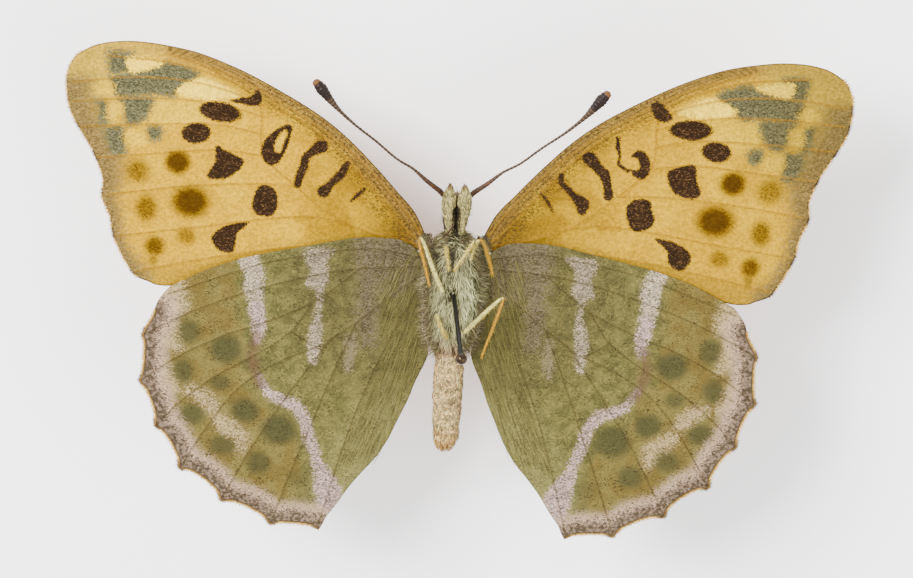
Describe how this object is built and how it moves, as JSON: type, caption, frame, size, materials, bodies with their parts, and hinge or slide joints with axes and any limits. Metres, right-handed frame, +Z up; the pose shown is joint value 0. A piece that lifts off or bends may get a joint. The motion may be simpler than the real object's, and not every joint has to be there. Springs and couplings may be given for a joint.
{
  "type": "pinned butterfly specimen",
  "caption": "Dried butterfly spread wings-open with its underside up, held through the thorax by a slender insect pin that stands in foam.",
  "frame": {"origin": "on the pin's axis where the pin enters the foam's surface, so z = 0 is the foam's surface", "axes": "+Z up out of the foam, +Y towards the butterfly's head, +X towards its left wings (underside up); the pin leans 2.75 degrees towards +X"},
  "size_m": [0.0671, 0.0454, 0.038],
  "materials": {
    "enamelled_steel": "gloss",
    "bronze_head": "gloss",
    "forewing_scales": "matte",
    "hindwing_scales": "matte",
    "body_fur": "matte",
    "abdomen_scales": "matte",
    "dark_chitin": "satin",
    "leg_scales": "matte"
  },
  "bodies": {
    "root": {"pin_shaft": "enamelled_steel", "pin_head": "bronze_head", "head": "dark_chitin", "thorax": "body_fur", "abdomen": "abdomen_scales", "forewing_left": "forewing_scales", "forewing_right": "forewing_scales", "hindwing_left": "hindwing_scales", "hindwing_right": "hindwing_scales", "antenna_left": "dark_chitin", "antenna_right": "dark_chitin", "palp_left": "body_fur", "palp_right": "body_fur", "proboscis": "dark_chitin", "foreleg_left": "leg_scales", "foreleg_right": "leg_scales", "middle_leg_left": "leg_scales", "middle_leg_right": "leg_scales", "hind_leg_left": "leg_scales", "hind_leg_right": "leg_scales"}
  },
  "joints": []
}
